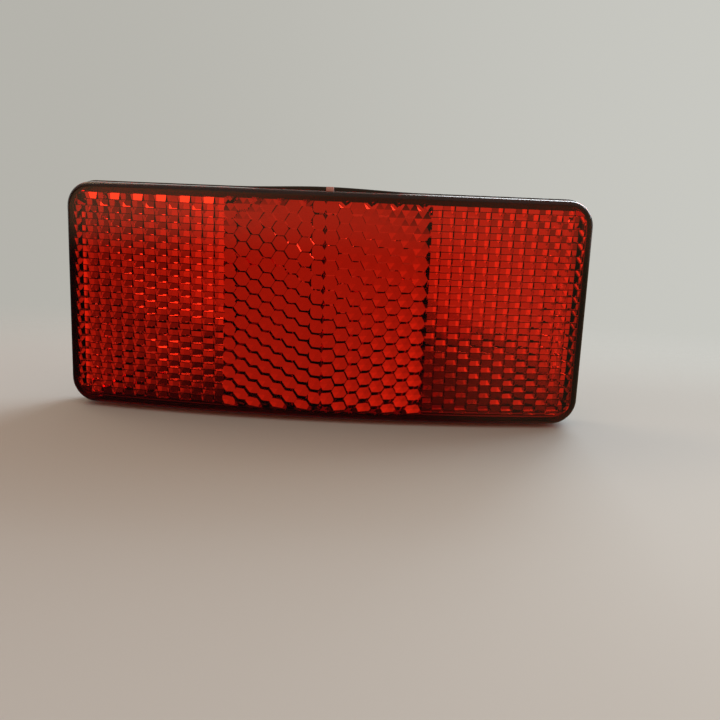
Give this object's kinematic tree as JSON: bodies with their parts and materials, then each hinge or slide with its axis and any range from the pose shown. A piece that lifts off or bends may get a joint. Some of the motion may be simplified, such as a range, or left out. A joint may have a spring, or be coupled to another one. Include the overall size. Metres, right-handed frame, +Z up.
{
  "type": "bicycle rear reflector",
  "caption": "Bowed rectangular rear reflector: a clear red prismatic lens on a black housing, fixed from behind by bolts.",
  "frame": {"origin": "middle of the flat seat pad on the housing's back, midway between the two bolts", "axes": "+Z up, +X to the right as seen from the front, +Y out of the back; the bowed face looks along -Y"},
  "size_m": [0.0958, 0.0259, 0.0424],
  "materials": {
    "red_acrylic": "clear red acrylic, polished, with prisms on its back",
    "black_plastic": "satin moulded",
    "zinc_plated_steel": "bright zinc plate"
  },
  "bodies": {
    "root": {"lens": "red_acrylic", "housing": "black_plastic", "bolt_left": "zinc_plated_steel", "bolt_right": "zinc_plated_steel", "washer_left": "zinc_plated_steel", "washer_right": "zinc_plated_steel", "spring_washer_left": "zinc_plated_steel", "spring_washer_right": "zinc_plated_steel", "nut_left": "zinc_plated_steel", "nut_right": "zinc_plated_steel"}
  },
  "joints": []
}
